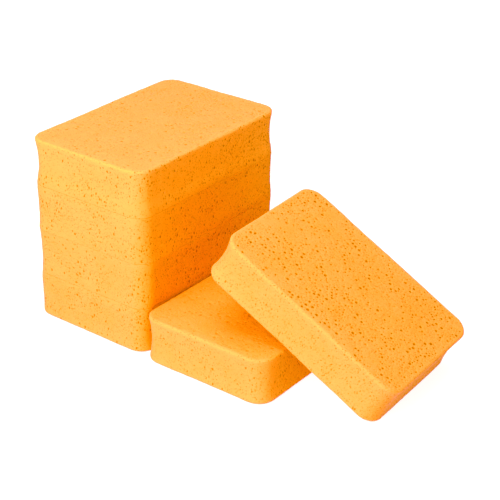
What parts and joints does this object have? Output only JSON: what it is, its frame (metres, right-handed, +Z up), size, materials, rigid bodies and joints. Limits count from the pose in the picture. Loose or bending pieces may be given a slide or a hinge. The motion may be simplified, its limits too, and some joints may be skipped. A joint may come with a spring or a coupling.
{
  "type": "grout sponge set",
  "caption": "Rounded rectangular foam grout sponges: a stack, one lying flat against it and one leaning on that one.",
  "frame": {"origin": "middle of the underside of the stack's bottom sponge", "axes": "+Z up, +X along the length of the stacked sponges, -Y towards the two loose sponges"},
  "size_m": [0.1949, 0.3708, 0.174],
  "materials": {
    "foam": "matt open-cell foam with small pores"
  },
  "bodies": {
    "stack_bottom": {"stack_sponge_bottom": "foam"},
    "stack_lower": {"stack_sponge_lower": "foam"},
    "stack_upper": {"stack_sponge_upper": "foam"},
    "stack_top": {"stack_sponge_top": "foam"},
    "flat": {"flat_sponge": "foam"},
    "leaning": {"leaning_sponge": "foam"}
  },
  "joints": [
    {"name": "lower_lift", "type": "slide", "parent": "stack_bottom", "child": "stack_lower", "axis": [0, 0, 1], "range_m": [0, 0.06]},
    {"name": "upper_lift", "type": "slide", "parent": "stack_lower", "child": "stack_upper", "axis": [0, 0, 1], "range_m": [0, 0.06]},
    {"name": "top_lift", "type": "slide", "parent": "stack_upper", "child": "stack_top", "axis": [0, 0, 1], "range_m": [0, 0.06]},
    {"name": "flat_slide", "type": "slide", "parent": "stack_bottom", "child": "flat", "axis": [0, -1, 0], "range_m": [0, 0.1]},
    {"name": "leaning_lift", "type": "slide", "parent": "flat", "child": "leaning", "axis": [0, 0, 1], "range_m": [0, 0.15]}
  ]
}
